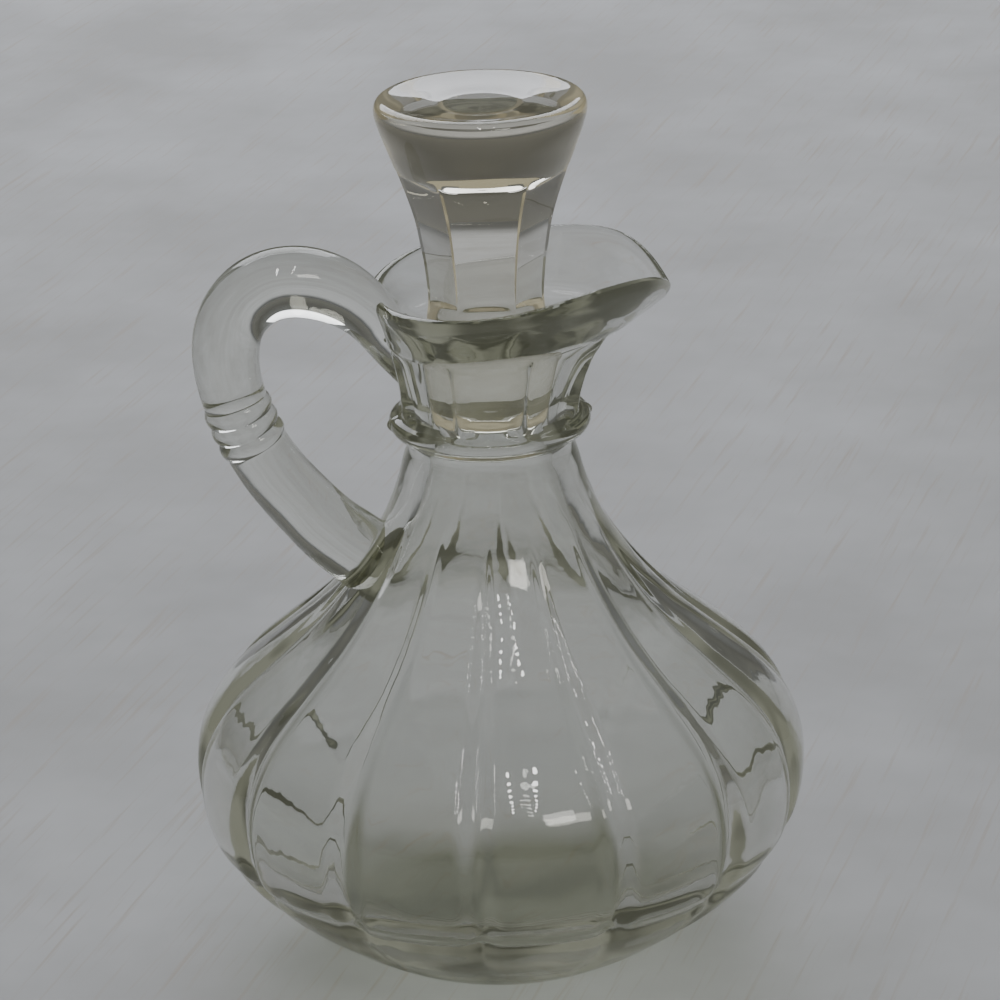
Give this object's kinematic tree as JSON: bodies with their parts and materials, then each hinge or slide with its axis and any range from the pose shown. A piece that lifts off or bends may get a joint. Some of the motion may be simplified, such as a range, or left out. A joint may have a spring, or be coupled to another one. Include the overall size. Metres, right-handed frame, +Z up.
{
  "type": "glass cruet with stopper",
  "caption": "Clear pressed-glass oil cruet with squat body of fourteen petals, panelled neck, pouring lip, ringed loop handle and a loose flared stopper.",
  "frame": {"origin": "centre of the foot, on the surface it stands on", "axes": "+Z up through the stopper, +X towards the pouring lip, the handle at -X"},
  "size_m": [0.0992, 0.0998, 0.1435],
  "materials": {
    "cruet": "clear pressed glass, fire polished",
    "stopper": "clear pressed glass, fire polished"
  },
  "bodies": {
    "root": {"cruet": "cruet", "stopper": "stopper"}
  },
  "joints": []
}
